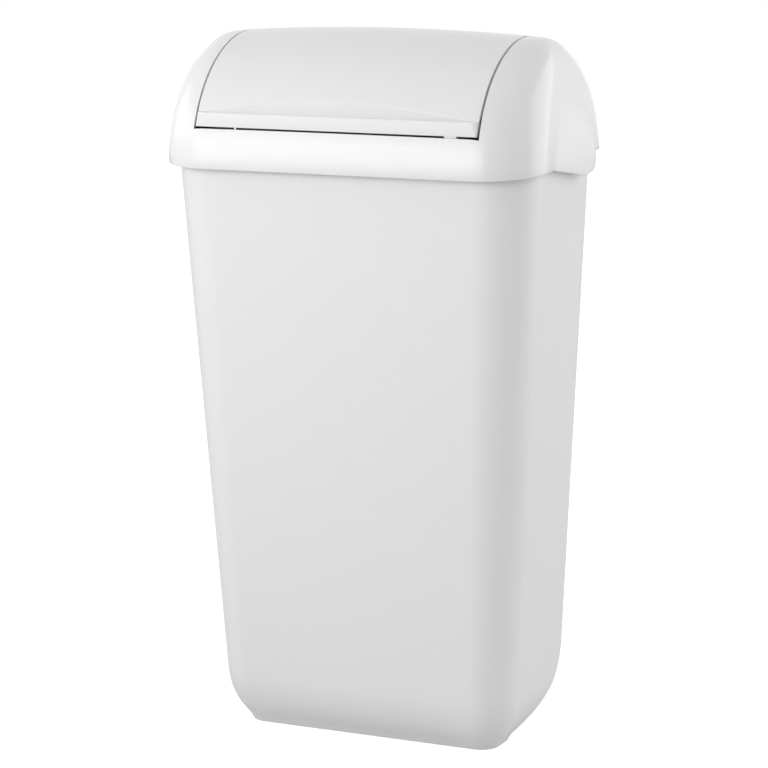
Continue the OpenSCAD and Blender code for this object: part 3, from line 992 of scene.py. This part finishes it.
    def build(self, shop: Workshop) -> None:
        """Builds and dresses the hood.

        Args:
            shop: the workshop.
        """
        d = self.dome
        outer, inner = self.skin(0), self.skin(d.wall)
        n, m = len(self.columns()), len(outer)
        faces = self.skin_faces(0, m) + self.skin_faces(m, len(inner))
        faces += [(i, (i + 1) % n, m + (i + 1) % n, m + i) for i in range(n)]
        piece = shop.mesh("hood_shell", outer + inner, faces)
        opening = shop.prism("opening", self.opening(), -d.open_hw, d.open_hw)
        shop.combine(piece, [opening], "DIFFERENCE")
        shop.combine(piece, [self.ledge(shop), *self.ribs(shop), *self.cheeks(shop)], "UNION")
        bores = []
        for side in (-1, 1):
            low, high = sorted((side * (d.open_hw - 1), side * (d.open_hw + d.boss_len + 1)))
            bores.append(shop.barrel("bore", d.pivot, d.pin_r + self.bore_play, low, high))
        shop.combine(piece, bores, "DIFFERENCE")
        shop.smooth(piece)
        shop.dress(piece, Finish.HOOD, "hood", "hood")


@dataclass
class Flap:
    """The swing flap with its lip, finger scoop, webs, bosses and stop tabs."""

    dome: Dome
    lip_h: float = 11.5
    lip_end: float = 5.0
    scoop_side: float = 4.0
    scoop_h: float = 10.5
    scoop_step: float = 2.0
    scoop_sag: float = 0.7
    tab_left_side: float = 36.0
    tab_left_w: float = 1.8
    tab_right_side: float = 22.5
    tab_right_w: float = 10.7
    pad_h: float = 1.1
    tab_reach: float = 5.5
    tab_t: float = 2.4
    stop_play: float = 0.35
    bore_play: float = 0.02
    inner_places: tuple[float, ...] = (0.5,)
    outer_places: tuple[float, ...] = (0.15, 0.35, 0.55, 0.75, 0.9)
    x_steps: int = 96
    dome_steps: int = 44
    inner_extra: int = 8

    def __post_init__(self) -> None:
        """Works out the lip's height and the scoop's half width."""
        self.lip_z = self.dome.edge_z + self.lip_h
        self.scoop_hw = self.dome.flap_hw - self.scoop_side

    def lip_share(self, x: float) -> float:
        """The share of the lip's reach at x: it is rounded off at both ends."""
        e = max(0.0, abs(x) - self.dome.flap_hw + self.lip_end) / self.lip_end
        return math.sqrt(max(0.0, 1 - e * e))

    def scoop_share(self, x: float) -> float:
        """The share of the scoop's height at x."""
        return max(0.0, 1 - (x / self.scoop_hw) ** 2)

    def profile(self, x: float, inside: bool) -> list[Flat]:
        """The flap's profile at x.

        Args:
            x: the place across the flap.
            inside: whether it is the inner profile.

        Returns:
            Its (y, z) points from the lip to the rear edge.
        """
        d, lip_z, edge = self.dome, self.lip_z, self.dome.edge_z
        band = d.y_at(x, edge, 0)
        lip = band + (1 - self.lip_share(x)) * (d.y_at(x, lip_z, 0) - band)
        arch_z = lip_z + self.scoop_h * self.scoop_share(x)
        arch_y = d.y_at(x, arch_z, 0)
        step = self.scoop_step * math.sqrt(self.scoop_share(x))
        sag = self.scoop_sag * self.scoop_share(x)
        if inside:
            w = d.wall
            start = d.phi(x, arch_z + 2 * w, w)
            lead = [
                (band + w - 0.4, edge), (band + w, edge + 0.6),
                ((band + lip) / 2 + w, (edge + lip_z) / 2 - 1), (lip + w, lip_z - 2.2),
                (lip + w + 0.5, lip_z - 1.6), (lip + w + 1.2, lip_z - 1.2),
            ]
            end = (arch_y + 0.5 + 0.9 * w, arch_z - 0.3 - step)
            lead += self.floor(lead[-1], end, sag, self.inner_places)
            lead += [end, (end[0], arch_z + 0.5)]
        else:
            start = d.phi(x, arch_z + 1.5, 0)
            low = (lip + 1.4, lip_z + 0.2)
            end = (arch_y + 0.5, arch_z + 0.5 - step)
            lead = [
                (band + 0.4, edge), (band + 0.1, edge + 0.15), (band, edge + 0.6),
                ((band + lip) / 2, (edge + lip_z) / 2), (lip, lip_z - 1.2),
                (lip + 0.12, lip_z - 0.55), (lip + 0.55, lip_z - 0.05), low,
            ]
            lead += self.floor(low, end, sag, self.outer_places)
            lead += [
                end, (arch_y + 0.42, end[1] + 0.25 * step),
                (arch_y + 0.3, arch_z + 0.5 - 0.12 * step), (arch_y + 0.38, arch_z + 0.65),
            ]
        w = d.wall if inside else 0.0
        steps = self.dome_steps + (self.inner_extra if inside else 0)
        return lead + [
            d.at(x, start + (d.rear_phi - start) * k / steps, w) for k in range(steps + 1)
        ]

    def floor(self, low: Flat, end: Flat, sag: float, shares: tuple[float, ...]) -> list[Flat]:
        """Points along the scoop's hollow floor.

        Args:
            low: the floor's start at the lip.
            end: the floor's end under the arched edge.
            sag: how deep the floor is hollowed.
            shares: the points' places between the two.

        Returns:
            The points between the start and the end.
        """
        return [
            (
                low[0] + (end[0] - low[0]) * share + sag * math.sin(math.pi * share),
                low[1] + (end[1] - low[1]) * share - sag * math.sin(math.pi * share),
            )
            for share in shares
        ]

    def tab(self, shop: Workshop, x: float, width: float) -> bpy.types.Object:
        """A tab that reaches down behind the sill.

        Args:
            shop: the workshop.
            x: the tab's middle.
            width: its width.

        Returns:
            The tab as its own object.
        """
        d = self.dome
        low = d.edge_z - self.tab_reach
        slope = math.tan(math.radians(d.sill_slope))
        far = abs(x) + width / 2
        y = d.y_at(far, d.sill_z - d.wall * slope, d.wall) + self.stop_play
        pad = d.y_at(far, d.edge_z, 0) + 0.4
        drop = (y - pad) * slope + self.pad_h
        high = low + self.tab_reach + self.lip_h / 2
        profile = [
            (pad, d.edge_z + 1), (pad, d.edge_z - self.pad_h + 0.2),
            (pad + 0.2, d.edge_z - self.pad_h), (y, d.edge_z - drop), (y, low + 0.5),
            (y + 0.5, low), (y + self.tab_t - 0.5, low), (y + self.tab_t, low + 0.5),
            (y + self.tab_t, high), (pad + d.wall / 2, high),
            (pad + d.wall / 2, d.edge_z + 1),
        ]
        return shop.prism("tab", profile, x - width / 2, x + width / 2)

    def build(self, shop: Workshop) -> None:
        """Builds and dresses the flap.

        Args:
            shop: the workshop.
        """
        d = self.dome
        xs = [
            d.flap_hw * math.sin(math.pi * (i / self.x_steps - 0.5))
            for i in range(self.x_steps + 1)
        ]
        outer = [self.profile(x, False) for x in xs]
        inner = [self.profile(x, True) for x in xs]
        rows = len(outer[0])
        m, last = len(xs) * rows, (len(xs) - 1) * rows
        points = [(x, *q) for side in (outer, inner) for x, line in zip(xs, side) for q in line]
        faces: list[Face] = []
        for base in (0, m):
            faces += [
                (base + i * rows + k, base + i * rows + k + 1,
                 base + (i + 1) * rows + k + 1, base + (i + 1) * rows + k)
                for i in range(self.x_steps) for k in range(rows - 1)
            ]
        for row in (0, rows - 1):
            faces += [
                (i * rows + row, (i + 1) * rows + row,
                 m + (i + 1) * rows + row, m + i * rows + row)
                for i in range(self.x_steps)
            ]
        for base in (0, last):
            faces += [
                (base + k, base + k + 1, m + base + k + 1, m + base + k) for k in range(rows - 1)
            ]
        piece = shop.mesh("flap_shell", points, faces)
        parts = [
            self.tab(shop, self.tab_left_side - d.flap_hw, self.tab_left_w),
            self.tab(shop, d.flap_hw - self.tab_right_side, self.tab_right_w),
        ]
        start = d.phi(d.flap_hw, self.lip_z, 0) + 3
        bores = []
        for side in (-1, 1):
            low, high = sorted((side * (d.flap_hw - d.web_t), side * d.flap_hw))
            parts += [
                shop.prism("flap_web", profile, low, high)
                for profile in d.web(d.flap_hw - d.web_t, start, d.rear_phi - 1, d.wall / 2)
            ]
            low, high = sorted((side * (d.flap_hw - d.boss_len), side * d.flap_hw))
            parts.append(shop.barrel("flap_boss", d.pivot, d.boss_r - 1, low, high))
            bores.append(shop.barrel("bore", d.pivot, d.pin_r + self.bore_play, low - 1, high + 1))
        shop.combine(piece, parts, "UNION")
        shop.combine(piece, bores, "DIFFERENCE")
        shop.smooth(piece)
        shop.dress(piece, Finish.HOOD, "flap", "swing_flap")


@dataclass
class Fittings:
    """The CAD nodes that stay: the bag ring and the pivot pins."""

    finishes: dict[str, Finish] = field(default_factory=lambda: {
        "bag_ring": Finish.RING,
        "pivot_pin_left": Finish.PIN,
        "pivot_pin_right": Finish.PIN,
    })

    def build(self, shop: Workshop) -> None:
        """Gives each kept node its material.

        Args:
            shop: the workshop.
        """
        for name, finish in self.finishes.items():
            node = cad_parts[name]
            node.data.materials.clear()
            node.data.materials.append(shop.materials[finish])
            LOG.info("%s: %s", name, finish.value)


@dataclass(frozen=True)
class Lamp:
    """One soft lamp, with its place and aim in metres and its power in watts."""

    name: str
    place: Point
    aim: Point
    size: tuple[float, float]
    power: float

    def build(self) -> None:
        """Makes the lamp."""
        data = bpy.data.lights.new(self.name, "AREA")
        data.shape = "RECTANGLE"
        data.size, data.size_y = self.size
        data.energy = self.power
        lamp = placed(self.name, data)
        lamp.location = self.place
        look = Vector(self.aim) - Vector(self.place)
        lamp.rotation_euler = look.to_track_quat("-Z", "Y").to_euler()


@dataclass
class Studio:
    """The floor, the world, the lamps and the camera."""

    target: Point = (-0.0094, 0.0202, 0.2905)
    azimuth: float = 25.261
    elevation: float = 9.746
    distance: float = 2.5233
    lens: float = 140.625
    sensor: float = 36.0
    floor_size: float = 12.0
    floor_glow: float = 0.8
    floor_grey: float = 0.7
    ambient: float = 0.45
    lamps: tuple[Lamp, ...] = (
        Lamp("strip_left", (-1.286, -0.418, 0.862), (0.0, 0.0, 0.5), (1.6, 0.5), 3.9),
        Lamp("strip_front", (-0.463, -1.271, 0.862), (0.0, 0.0, 0.5), (1.6, 0.5), 2.6),
        Lamp("key_front", (-0.259, -0.965, 0.635), (0.0, 0.0, 0.6), (1.0, 0.35), 3.0),
        Lamp("rear_right", (1.741, 1.219, 0.969), (0.0, 0.0, 0.4), (2.0, 2.0), 22.0),
        Lamp("top", (0.156, -0.271, 2.173), (0.0, 0.0, 0.4), (1.4, 1.4), 1.9),
    )

    def build_camera(self) -> None:
        """Places the camera at the photograph's angle."""
        az, el = math.radians(self.azimuth), math.radians(self.elevation)
        back = Vector((math.sin(az) * math.cos(el), -math.cos(az) * math.cos(el), math.sin(el)))
        data = bpy.data.cameras.new("camera")
        data.lens = self.lens
        data.sensor_width = self.sensor
        data.clip_end = 50.0
        camera = placed("camera", data)
        camera.location = Vector(self.target) + back * self.distance
        camera.rotation_euler = (-back).to_track_quat("-Z", "Y").to_euler()
        bpy.context.scene.camera = camera

    def build_world(self) -> None:
        """Makes a soft grey light all round that looks white behind the object."""
        world = bpy.data.worlds.new("studio")
        nodes = cleared(world)
        rays = nodes.add("ShaderNodeLightPath").outputs
        seen = nodes.maths("MAXIMUM", rays["Is Camera Ray"], rays["Is Transmission Ray"])
        seen = nodes.maths("MAXIMUM", seen, rays["Is Glossy Ray"])
        strength = nodes.add("ShaderNodeMix", data_type="FLOAT")
        nodes.join(seen, strength.inputs[0])
        strength.inputs[2].default_value = self.ambient
        strength.inputs[3].default_value = 1.0
        light = nodes.add("ShaderNodeBackground")
        light.inputs["Color"].default_value = WHITE
        nodes.join(strength.outputs[0], light.inputs["Strength"])
        nodes.join(light.outputs[0], nodes.add("ShaderNodeOutputWorld").inputs["Surface"])
        bpy.context.scene.world = world

    def build_floor(self) -> None:
        """Makes the pale floor, which shows white but keeps the bin's shadow."""
        half = self.floor_size / 2
        data = bpy.data.meshes.new("floor")
        corners = [(-half, -half, 0), (half, -half, 0), (half, half, 0), (-half, half, 0)]
        data.from_pydata(corners, [], [(0, 1, 2, 3)])
        floor = placed("floor", data)
        material = bpy.data.materials.new("pale_floor")
        nodes = cleared(material)
        rays = nodes.add("ShaderNodeLightPath").outputs
        seen = nodes.maths("MAXIMUM", rays["Is Camera Ray"], rays["Is Transmission Ray"])
        glow = nodes.add("ShaderNodeEmission")
        glow.inputs["Color"].default_value = WHITE
        nodes.join(nodes.maths("MULTIPLY", seen, self.floor_glow), glow.inputs["Strength"])
        shader = nodes.add("ShaderNodeBsdfDiffuse")
        shader.inputs["Color"].default_value = (*[self.floor_grey] * 3, 1.0)
        total = nodes.add("ShaderNodeAddShader")
        nodes.join(shader.outputs[0], total.inputs[0])
        nodes.join(glow.outputs[0], total.inputs[1])
        nodes.join(total.outputs[0], nodes.add("ShaderNodeOutputMaterial").inputs["Surface"])
        floor.data.materials.append(material)

    def build(self) -> None:
        """Builds the whole studio."""
        self.build_camera()
        self.build_world()
        self.build_floor()
        for lamp in self.lamps:
            lamp.build()
        bpy.context.scene.view_settings.view_transform = "Standard"


def main() -> None:
    """Builds the studio and every sub-assembly in order."""
    logging.basicConfig(level=logging.INFO, format="%(name)s: %(message)s")
    Studio().build()
    shop = Workshop()
    tub = Tub()
    dome = Dome(tub)
    tub.build(shop)
    Hood(dome).build(shop)
    Flap(dome).build(shop)
    Fittings().build(shop)


if __name__ == "__main__":
    main()
